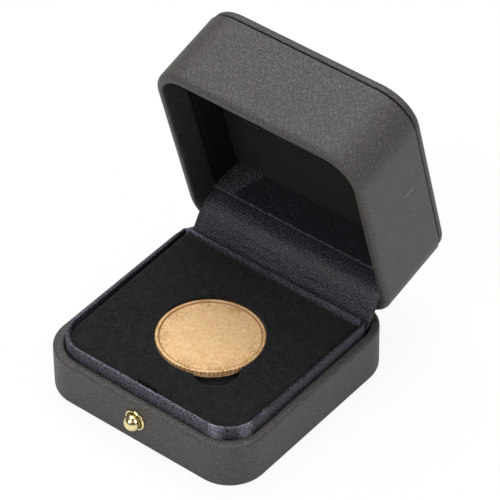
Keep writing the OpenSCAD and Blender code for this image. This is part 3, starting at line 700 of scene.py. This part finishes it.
def lid_leatherette():
    """Leatherette over the lid: over the deck and its shoulder, down the wall and round the rim."""
    path = filled_in(
        [(TURN_OVER, PANEL_Z), (SEAM_DEPTH, PANEL_Z)]
        + arc(SHOULDER_R, PANEL_Z - SHOULDER_R, SHOULDER_R, 90, 180)
        + arc(LID_RIM_R, RIM_Z + LID_RIM_R, LID_RIM_R, 180, 270, 10)
        + arc(WALL - INNER_RIM_R, RIM_Z + INNER_RIM_R, INNER_RIM_R, 270, 360)
        + [(WALL, LINING_LOW.z)], SECTION_STEP)
    loop = skin_loop(path, -LEATHER)
    stations, total = box_outline(HINGE_NOTCH_ENDS)
    count = len(path)

    def shape(point, j, length):
        if at_hinge(length, total):
            point.z = max(point.z, LID_NOTCH_Z + (0 if j < count else LEATHER))
        if 0 < j < count - 1 and RIM_Z + 1 * MM < point.z < PANEL_Z - 0.8 * MM:
            point += wrap_wave(point, 16 * MM, 3)
        return point

    piece = swept("lid_leatherette", loop, stations, total, "lid", OPEN_LID, shape)
    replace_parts(dress(piece, LEATHERETTE), "lid_wrap")


def panel_leatherette():
    """The separately wrapped top panel: its edge over the slit, and its flat middle."""
    inset = HALF_W - PANEL_HIGH.x
    top, seam = PANEL_HIGH.z, PANEL_Z + SEAM_SLIT
    edge_w = CORNER_R - 1 * MM
    path = filled_in(
        [(inset + PANEL_TURN, PANEL_Z), (inset + SEAM_DEPTH + SEAM_SLIT, PANEL_Z), (inset + SEAM_DEPTH, seam)]
        + arc(inset + PANEL_SEAM_R, seam + PANEL_SEAM_R, PANEL_SEAM_R, 270, 180)
        + arc(inset + PANEL_R, top - PANEL_R, PANEL_R, 180, 90, 10)
        + [(edge_w - 0.05 * MM, top), (edge_w, top)], SECTION_STEP)
    loop = skin_loop(path, LEATHER)
    stations, total = box_outline()
    piece = swept("panel_leatherette", loop, stations, total, "lid", OPEN_LID)
    dress(piece, LEATHERETTE)
    panel_field(HALF_W - edge_w + 0.02 * MM, top)
    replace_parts(piece, "top_panel_wrap")


def panel_field(half, top):
    """The flat middle of the top panel, a square grid."""
    cells = 24
    row = cells + 1
    steps = [half * (2 * i / cells - 1) for i in range(row)]
    points = [(x, (FRONT + BACK) / 2 + y, top) for x in steps for y in steps]
    corners = [i * row + j for i in range(cells) for j in range(cells)]
    faces = [(a, a + row, a + row + 1, a + 1) for a in corners]
    dress(add_mesh("panel_field", points, faces, "lid", None, OPEN_LID), LEATHERETTE)


# Linings and pads

def inside_distance(p, x, y0, y1, front_r, rear_r):
    """Distance of a place from a rounded outline, positive inside it."""
    r = front_r if p[1] < (y0 + y1) / 2 else rear_r
    dx = abs(p[0]) - (x - r)
    dy = max(y0 + r - p[1], p[1] - (y1 - r))
    outside = math.hypot(max(dx, 0), max(dy, 0))
    return r - outside if outside > 0 else r - max(dx, dy, -1)


def edge_of(x, y0, y1, front_r, rear_r, centre, angle):
    """Distance from a centre to a rounded outline in one direction."""
    low, high = 0.0, 2 * max(x, y1 - y0)
    for _ in range(40):
        middle = (low + high) / 2
        p = (centre[0] + middle * math.cos(angle), centre[1] + middle * math.sin(angle))
        low, high = (middle, high) if inside_distance(p, x, y0, y1, front_r, rear_r) > 0 else (low, middle)
    return low


def hole_edge(angle):
    """Distance from the coin's centre to the edge of the coin hole and its finger notch."""
    off = angle - NOTCH_DIR
    across = NOTCH_AT * math.sin(off)
    reach = 0
    if abs(across) < NOTCH_R and math.cos(off) > 0:
        reach = NOTCH_AT * math.cos(off) + math.sqrt(NOTCH_R ** 2 - across ** 2)
    return max(HOLE_R, reach)


def hole_distance(p):
    """Distance of a place from the edge of the hole and notch, positive on the pad."""
    notch = (COIN_X + NOTCH_AT * math.cos(NOTCH_DIR), COIN_Y + NOTCH_AT * math.sin(NOTCH_DIR))
    return min(math.dist(p, (COIN_X, COIN_Y)) - HOLE_R, math.dist(p, notch) - NOTCH_R)


def catch_distance(p):
    """Distance of a place from the slot for the catch in the pad's front edge."""
    return math.hypot(max(abs(p[0]) - CATCH_HALF, 0), max(p[1] - VELVET_LOW.y - CATCH_REACH, 0))


def pad_lean(x, y):
    """How far the pad's face lies from its level place. It was pushed in deeper at the front."""
    across = (x - VELVET_LOW.x) / (VELVET_HIGH.x - VELVET_LOW.x)
    back = (y - VELVET_LOW.y) / (VELVET_HIGH.y - VELVET_LOW.y)
    front_drops, rear_drops = (2.2 * MM, 2 * MM), (0.5 * MM, 1.3 * MM)
    front_drop, rear_drop = (left + (right - left) * across for left, right in (front_drops, rear_drops))
    return COLLAR_HIGH.z - VELVET_HIGH.z - front_drop - (rear_drop - front_drop) * back


def rolled(distance, r):
    """How far a soft edge of radius r has dropped at a distance from its side."""
    return r - math.sqrt(max(0, r * r - (r - min(distance, r)) ** 2))


def edge_rows(r):
    """Distances of the rows of points from the side of a soft edge of radius r."""
    return [r * (1 - math.cos(math.pi / 2 * k / 6)) for k in range(7)]


def pad_outer(angle):
    """Distance from the coin's centre to the pad's outer edge, or to the slot for the catch."""
    outer = edge_of(*PAD_OUTLINE, (COIN_X, COIN_Y), angle)
    if math.sin(angle) < -0.9:
        to_slot = (VELVET_LOW.y + CATCH_REACH - COIN_Y) / math.sin(angle)
        if abs(COIN_X + to_slot * math.cos(angle)) < CATCH_HALF:
            outer = to_slot
    return outer


def pad_height(p):
    """Height of the velvet at a place on the pad."""
    to_hole, to_side, to_slot = hole_distance(p), inside_distance(p, *PAD_OUTLINE), catch_distance(p)
    to_hole, to_side = max(to_hole, 0), max(to_side, 0)
    drop = rolled(to_hole, HOLE_EDGE_R) + rolled(to_side, PAD_EDGE_R) + rolled(to_slot, HOLE_EDGE_R)
    lift = uneven((*p, 0), 0.09 * MM, 9 * MM, 5) + uneven((*p, 0), 0.03 * MM, 1.6 * MM, 9)
    free = min(1, to_hole / MM, to_side / MM, to_slot / MM)
    return VELVET_HIGH.z + pad_lean(*p) - drop + lift * free - 0.03 * MM


def tray_pad():
    """Velvet pad with its soft outer edge, the coin hole, the finger notch and the slot for the catch."""
    turns, face_rows, wall_rows = 480, 34, 4
    points = []
    for i in range(turns):
        angle = 2 * math.pi * i / turns
        inner, outer = hole_edge(angle), pad_outer(angle)
        face = outer - inner - HOLE_EDGE_R - PAD_EDGE_R
        reach = [inner + s for s in edge_rows(HOLE_EDGE_R)]
        reach += [inner + HOLE_EDGE_R + face * k / face_rows for k in range(1, face_rows)]
        reach += [outer - s for s in reversed(edge_rows(PAD_EDGE_R))]
        places = [(COIN_X + r * math.cos(angle), COIN_Y + r * math.sin(angle)) for r in reach]
        column = [(*p, pad_height(p)) for p in places]
        wall = [VELVET_LOW.z + (column[0][2] - VELVET_LOW.z) * k / wall_rows for k in range(wall_rows)]
        points += [(*places[0], z) for z in wall] + column + [(*places[-1], z) for z in reversed(wall)]
    faces = ring_faces(turns, len(points) // turns, closed=True)
    pad = add_mesh("tray_pad", points, faces, "base")
    finish_normals(pad)
    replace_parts(dress(pad, VELVET), "pad_velvet")


def lid_pad():
    """Suede pad in the roof of the lid."""
    shape = (LID_PAD_HIGH.x, LID_PAD_LOW.y, LID_PAD_HIGH.y, 10.7 * MM, 2 * MM)
    centre = (0, (LID_PAD_LOW.y + LID_PAD_HIGH.y) / 2)
    turns, face_rows = 240, 34
    face, back = LID_PAD_LOW.z, LID_PAD_HIGH.z + 1 * MM
    points = [(*centre, face)]
    for i in range(turns):
        angle = 2 * math.pi * i / turns
        outer = edge_of(*shape, centre, angle)
        reach = [(outer - PAD_EDGE_R) * k / face_rows for k in range(1, face_rows)]
        reach += [outer - s for s in reversed(edge_rows(PAD_EDGE_R))]
        for r in reach:
            p = (centre[0] + r * math.cos(angle), centre[1] + r * math.sin(angle))
            to_side = max(inside_distance(p, *shape), 0)
            lift = (uneven((*p, 0), 0.12 * MM, 12 * MM, 2) + 0.12 * MM) * min(1, to_side / (2 * MM))
            points.append((*p, face + rolled(to_side, PAD_EDGE_R) + lift))
        points.append((*p, back))
    m = len(points) // turns
    faces = ring_faces(turns, m, first=1)
    faces += [(0, 1 + (i + 1) % turns * m, 1 + i * m) for i in range(turns)]
    faces.append(tuple(i * m + m for i in range(turns)))
    pad = add_mesh("lid_pad", points, faces, "lid", None, OPEN_LID)
    finish_normals(pad)
    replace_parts(dress(pad, SUEDE), "lid_pad_cover")


def side_lining():
    """Lining of the lid's inner walls, a little further out than the leatherette that is turned in."""
    inner, outer = WALL - 0.2 * MM, WALL - LEATHER
    loop = filled_in([(inner, LINING_LOW.z), (inner, LINING_HIGH.z)], 2 * MM)
    loop += [(outer, LINING_HIGH.z), (outer, LINING_LOW.z)]
    stations, total = box_outline()
    piece = swept("lid_lining", loop, stations, total, "lid", OPEN_LID)
    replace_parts(dress(piece, LINING), "lid_side_lining")


def satin_collar():
    """Satin folded over the collar, with the overlap of its two ends on the right side."""
    top, hem, edge = COLLAR_HIGH.z, COLLAR_LOW.z, 0.6 * MM
    overlap_y, overlap_w, overlap_step = -24.5 * MM, 7 * MM, 0.3 * MM
    path = filled_in(
        [(0, hem)] + arc(edge, top - edge, edge, 180, 90) + arc(COLLAR_T - edge, top - edge, edge, 90, 0)
        + [(COLLAR_T, hem)], 0.9 * MM)
    loop = skin_loop(path, 0.3 * MM)
    sides = (COLLAR_HIGH.x, COLLAR_LOW.y, COLLAR_HIGH.y)
    stations, total = outline(*sides, COLLAR_FRONT_R, COLLAR_REAR_R, 1.2 * MM)
    count = len(path)

    def shape(point, j, length):
        if j < count and point.z > hem + 1 * MM:
            away = (1 if j < count / 2 else -1) * Vector((point.x, point.y, 0)).normalized()
            point += (uneven(point, 0.07 * MM, 6 * MM, 4) + uneven(point, 0.02 * MM, 2 * MM, 8)) * away
            if point.z > top - 0.7 * MM:
                point.z += uneven(point, 0.1 * MM, 5 * MM, 6)
            lap = (point.y - overlap_y) / overlap_w
            if point.x > COLLAR_HIGH.x - 2 * MM and 0 < lap < 1:
                point += overlap_step * (1 - lap) * away
        return point

    piece = swept("satin_collar", loop, stations, total, "base", None, shape)
    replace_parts(dress(piece, SHINY_SATIN), "collar_satin")


# The strip of satin over the hinge and the satin on the rear card

STRIP_T = 0.35 * MM
CARD_Y = COLLAR_HIGH.y + 0.2 * MM
CARD_Z = CARD_LOW.z + 0.3 * MM
CARD_TOP = LINING_HIGH.z
CARD_LEAN = 2.6 * MM
CARD_T = 1.25 * MM


def curve_point(a, b, c, d, t):
    """A point of a Bezier curve from a to d."""
    return (1 - t) ** 3 * a + 3 * (1 - t) ** 2 * t * b + 3 * (1 - t) * t ** 2 * c + t ** 3 * d


def strip_path():
    """The strip's line from behind the collar to the rear card of the open lid, in depth and height."""
    foot_steps, bow_steps = 8, 56
    bend = Vector((0, COLLAR_HIGH.y + STRIP_T / 2, BASE_H - 0.2 * MM))
    end = OPEN_LID @ Vector((0, CARD_Y + 0.4 * MM, CARD_Z - 0.8 * MM))
    low = bend + Vector((0, 4.4 * MM, -0.4 * MM))
    high = end + Vector((0, -10.2 * MM, -0.3 * MM))
    foot = Vector((0, bend.y, STRIP_LOW.z))
    run = [foot + (bend - foot) * k / foot_steps for k in range(foot_steps)]
    return run + [curve_point(bend, low, high, end, k / bow_steps) for k in range(bow_steps + 1)]


def hinge_strip():
    """Strip of satin that bows over the hinge, with fine waves, and its ends curled down a little."""
    path = strip_path()
    last = len(path) - 1
    half, columns = STRIP_HIGH.x, 150
    curl_w = 4 * MM
    length = [0]
    for a, b in zip(path, path[1:]):
        length.append(length[-1] + (b - a).length)

    def strip_point(x, k, side):
        along = (path[min(k + 1, last)] - path[max(k - 1, 0)]).normalized()
        up = Vector((0, -along.z, along.y))
        wave = uneven((x / 3, length[k] * 1.4, 0), 0.08 * MM, 2.6 * MM, 7)
        sag = uneven((x, length[k], 0), 0.15 * MM, 15 * MM, 1)
        end_curl = 0.25 * MM * max(0, (abs(x) - half + curl_w) / curl_w) ** 2
        free = min(1, max(0, (k - 10) / 10), (last - k) / 6)
        return Vector((x, path[k].y, path[k].z)) + up * ((wave + sag - end_curl) * free + side * STRIP_T / 2)

    across = [half * (2 * i / columns - 1) for i in range(columns + 1)]
    points = [strip_point(x, k, side) for side in (1, -1) for x in across for k in range(len(path))]
    faces, uvs = sheet_faces(columns, 2 * half, length)
    strip = add_mesh("hinge_strip_satin", points, faces, None, uvs)
    finish_normals(strip)
    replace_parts(dress(strip, SATIN), "hinge_strip")
    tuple(path[8])
    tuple(path[-1])
    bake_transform(strip)


def rear_card_satin():
    """Satin stretched over the slanted rear card, turned under its lower edge, with a hem at the left."""
    height = CARD_TOP - CARD_Z
    columns, rows = 170, 32
    rises = [-0.65 * MM, -0.5 * MM] + [height * k / rows for k in range(rows + 1)]
    hem_x, hem_slant = -32.2 * MM, 3.3 / 12.8
    inner_r, reach = CORNER_R - WALL, HALF_W - WALL

    def half_at(y):
        """Half of the card's width where it meets the rounded inside of the lid."""
        over = max(0, y - (BACK - CORNER_R))
        return reach - inner_r + math.sqrt(inner_r ** 2 - over ** 2) - 0.12 * MM

    def stand_off(x, z, rise):
        """How far the satin stands off the card when flat, and how much more in its folds."""
        hem = hem_x + hem_slant * rise
        folded = min(1, max(0, (hem - x) / (0.5 * MM)))
        crumple = uneven((x, z, 0), 0.25 * MM, 2.2 * MM, 3) + uneven((x, z, 0), 0.2 * MM, 0.7 * MM, 6)
        ridge = 0.35 * MM * math.exp(-((x - hem - 1.4 * MM) / (0.5 * MM)) ** 2)
        soft = uneven((x / 4, z, 0), 0.12 * MM, 3 * MM, 2)
        low = 0.3 * MM * max(0, 1 - rise / (5 * MM)) ** 2
        return max(0.1 * MM, 0.3 * MM - low), folded * (0.25 * MM + crumple) + ridge + soft

    def card_point(i, k, front):
        z = CARD_Z + rises[k]
        y = CARD_Y + CARD_LEAN / height * max(0, rises[k])
        x = half_at(y) * (2 * i / columns - 1)
        if front:
            flat, folds = stand_off(x, z, rises[k])
            y -= flat + folds * min(1, k / 4)
        elif k == 0:
            y += CARD_T
        return (x, y, z)

    places = [(i, k) for i in range(columns + 1) for k in range(len(rises))]
    points = [card_point(i, k, front) for front in (True, False) for i, k in places]
    faces, uvs = sheet_faces(columns, 80 * MM, rises)
    piece = add_mesh("rear_card_satin", points, faces, "lid", uvs, OPEN_LID)
    finish_normals(piece)
    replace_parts(dress(piece, CRUMPLED_SATIN), "lid_rear_satin")


# Metal pieces

def display_coin():
    """Blank bronze piece: raised rounded rim, dished field and reeded edge. Its front edge stands up."""
    field_z, reed_depth = COIN_T - 0.5 * MM, 0.3 * MM
    # Points of the rim in mm: out from the field's edge or in from the coin's, and down from the top
    inner_rim = [(-0.35, 0.5), (-0.1, 0.44), (0.02, 0.2), (0.14, 0.05), (0.4, 0)]
    outer_rim = [(0.45, 0), (0.18, 0.07), (0.04, 0.2), (0, 0.4)]
    upper = [(COIN_FIELD_R * k / 12, field_z) for k in range(12)]
    upper += [(COIN_FIELD_R + out * MM, COIN_T - down * MM) for out, down in inner_rim]
    upper += [(COIN_R - inward * MM, COIN_T - down * MM) for inward, down in outer_rim]
    lower = [(r, COIN_T - z) for r, z in reversed(upper)]
    side = [between(upper[-1], lower[0], k / 4) for k in range(1, 4)]

    def reeded(r, z, a):
        if r > COIN_R - 0.03 * MM and 0.35 * MM < z < COIN_T - 0.35 * MM:
            return r - reed_depth * (0.5 - 0.5 * math.cos(a * COIN_REEDS)) ** 2
        return r

    lean = Matrix.Rotation(-COIN_LEAN, 4, "X") @ Matrix.Rotation(COIN_TIP, 4, "Y")
    place = Matrix.Translation((COIN_X, COIN_Y, COIN_TOP)) @ lean @ Matrix.Translation((0, 0, -COIN_T))
    coin = lathe("display_coin", upper + side + lower, COIN_REEDS * 10, "coin", place, reeded)
    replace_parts(dress(coin, BRONZE), "coin")


def front_place(y):
    """Turns a piece drawn round Z so that it points out of the front, from depth y."""
    height = (BEZEL_LOW.z + BEZEL_HIGH.z) / 2 + BUTTON_SHIFT
    return Matrix.Translation((BUTTON_SHIFT, y, height)) @ Matrix.Rotation(math.radians(90), 4, "X")


def bezel():
    """Flared ring round the button, with its boss and shank."""
    r, out = (BEZEL_HIGH.x - BEZEL_LOW.x) / 2, FRONT - BEZEL_LOW.y
    cup, boss, shank, bore, stem = BALL_R + 0.3 * MM, BALL_R + 0.7 * MM, 2.5 * MM, 2.1 * MM, 0.85 * MM
    inner_end = FRONT - BEZEL_HIGH.y
    boss_end, bore_end = -CUP_DEPTH - 0.5 * MM, inner_end + 0.7 * MM
    flare = [(boss, 0), (r - 0.1 * MM, 0), (r, 0.1 * MM), (r, 0.26 * MM), (r - 0.1 * MM, 0.5 * MM),
             (r - 0.28 * MM, out - 0.08 * MM), (r - 0.45 * MM, out)]
    inside = [(cup + 0.12 * MM, out - 0.02 * MM), (cup, out - 0.16 * MM), (cup, -CUP_DEPTH),
              (bore, -CUP_DEPTH), (bore, bore_end), (stem, bore_end), (stem, inner_end)]
    outside = [(shank, inner_end), (shank, boss_end), (boss, boss_end), (boss, 0)]
    profile = filled_in(flare + inside + outside, 0.3 * MM)
    ring = lathe("bezel_ring", profile, 96, "base", front_place(FRONT))
    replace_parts(dress(ring, GOLD), "button_bezel")


def ball_button():
    """Polished ball with a flat back, on its neck and stem."""
    centre = BUTTON_LOW.y + BALL_R
    out = FRONT - centre
    flat = out + CUP_DEPTH - 0.95 * MM
    neck, stem, neck_end = 1.9 * MM, 0.8 * MM, -out - CUP_DEPTH - 0.6 * MM
    stem_end = centre - BUTTON_HIGH.y
    ball_steps = 48
    turns = [math.acos(-flat / BALL_R) * k / ball_steps for k in range(ball_steps + 1)]
    profile = [(BALL_R * math.sin(a), BALL_R * math.cos(a)) for a in turns]
    profile += [(neck, -flat), (neck, neck_end), (stem, neck_end), (stem, stem_end), (0, stem_end)]
    button = lathe("ball_button", filled_in(profile, 0.6 * MM), 96, "button", front_place(centre))
    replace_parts(dress(button, GOLD), "push_button")


# Light, floor and camera

def mix_shaders(tree, share, plain, seen, output):
    """Shows a share of one shader over a plain one, through an output node of the tree."""
    mix = tree.nodes.new("ShaderNodeMixShader")
    tree.links.new(share, mix.inputs["Fac"])
    tree.links.new(plain.outputs[0], mix.inputs[1])
    tree.links.new(seen.outputs[0], mix.inputs[2])
    tree.links.new(mix.outputs[0], tree.nodes[output].inputs["Surface"])


def studio():
    """Three softboxes and a faint world, which the camera sees as white."""
    scene = bpy.context.scene
    scene.view_settings.view_transform = "Standard"
    world = bpy.data.worlds.new("studio")
    scene.world = world
    world.use_nodes = True
    nodes = world.node_tree.nodes
    light = nodes["Background"]
    seen = nodes.new("ShaderNodeBackground")
    for background, strength in ((light, 0.14), (seen, 1)):
        background.inputs["Color"].default_value = (1, 1, 1, 1)
        background.inputs["Strength"].default_value = strength
    rays = nodes.new("ShaderNodeLightPath")
    mix_shaders(world.node_tree, rays.outputs["Is Camera Ray"], light, seen, "World Output")
    soft_box("left_softbox", azimuth=-98, elevation=42, distance=1.2, size=(0.6, 0.8), power=6.5)
    soft_box("right_softbox", azimuth=0, elevation=37, distance=1.2, size=(0.6, 0.8), power=4.4)
    soft_box("back_softbox", azimuth=129, elevation=65, distance=1.1, size=(1.1, 0.9), power=10.9)


def soft_box(name, azimuth, elevation, distance, size, power):
    """A softbox that faces the box, in the direction given from it in degrees. Azimuths count from +X."""
    aim = Vector((0, 0, 0.04))
    a, e = math.radians(azimuth), math.radians(elevation)
    away = Vector((math.cos(a) * math.cos(e), math.sin(a) * math.cos(e), math.sin(e)))
    lamp = bpy.data.lights.new(name, "AREA")
    lamp.shape = "RECTANGLE"
    lamp.size, lamp.size_y = size
    lamp.energy = power
    holder = bpy.data.objects.new(name, lamp)
    holder.location = aim + away * distance
    holder.rotation_euler = (-away).to_track_quat("-Z", "Y").to_euler()
    bpy.context.scene.collection.objects.link(holder)


def floor():
    """Pale floor that the camera sees as white, with the object's soft shadow kept."""
    half, seen_white, mirrored_white = 3.0, 0.92, 0.47
    corners = [(-half, -half, 0), (half, -half, 0), (half, half, 0), (-half, half, 0)]
    mesh = bpy.data.meshes.new("floor")
    mesh.from_pydata(corners, [], [(0, 1, 2, 3)])
    plane = bpy.data.objects.new("floor", mesh)
    bpy.context.scene.collection.objects.link(plane)
    material = bpy.data.materials.new("pale_floor")
    material.use_nodes = True
    nodes, links = material.node_tree.nodes, material.node_tree.links
    surface = nodes["Principled BSDF"]
    surface.inputs["Base Color"].default_value = (0.88, 0.88, 0.88, 1)
    surface.inputs["Roughness"].default_value = 0.9
    surface.inputs["Specular IOR Level"].default_value = 0.1
    white = nodes.new("ShaderNodeEmission")
    rays = nodes.new("ShaderNodeLightPath")
    seen = nodes.new("ShaderNodeMath")
    seen.operation = "MULTIPLY"
    seen.inputs[1].default_value = seen_white
    links.new(rays.outputs["Is Camera Ray"], seen.inputs[0])
    share = nodes.new("ShaderNodeMath")
    share.operation = "MULTIPLY_ADD"
    share.inputs[1].default_value = mirrored_white
    links.new(rays.outputs["Is Glossy Ray"], share.inputs[0])
    links.new(seen.outputs[0], share.inputs[2])
    mix_shaders(material.node_tree, share.outputs[0], surface, white, "Material Output")
    mesh.materials.append(material)


def camera():
    """The camera, aimed and rolled as the photograph's was."""
    a, e, roll = (math.radians(v) for v in (CAMERA_AZIMUTH, CAMERA_ELEVATION, CAMERA_ROLL))
    back = Vector((math.sin(a) * math.cos(e), -math.cos(a) * math.cos(e), math.sin(e)))
    right = Vector((math.cos(a), math.sin(a), 0))
    up = back.cross(right)
    right, up = right * math.cos(roll) + up * math.sin(roll), up * math.cos(roll) - right * math.sin(roll)
    data = bpy.data.cameras.new("camera")
    data.lens = CAMERA_LENS
    data.sensor_width = 36
    data.clip_end = 20
    eye = bpy.data.objects.new("camera", data)
    eye.matrix_world = Matrix.Translation(CAMERA_PLACE) @ Matrix((right, up, back)).transposed().to_4x4()
    bpy.context.scene.collection.objects.link(eye)
    bpy.context.scene.camera = eye


camera()
floor()
studio()
finish_frame()
base_leatherette()
lid_leatherette()
panel_leatherette()
tray_pad()
lid_pad()
side_lining()
satin_collar()
hinge_strip()
rear_card_satin()
display_coin()
bezel()
ball_button()
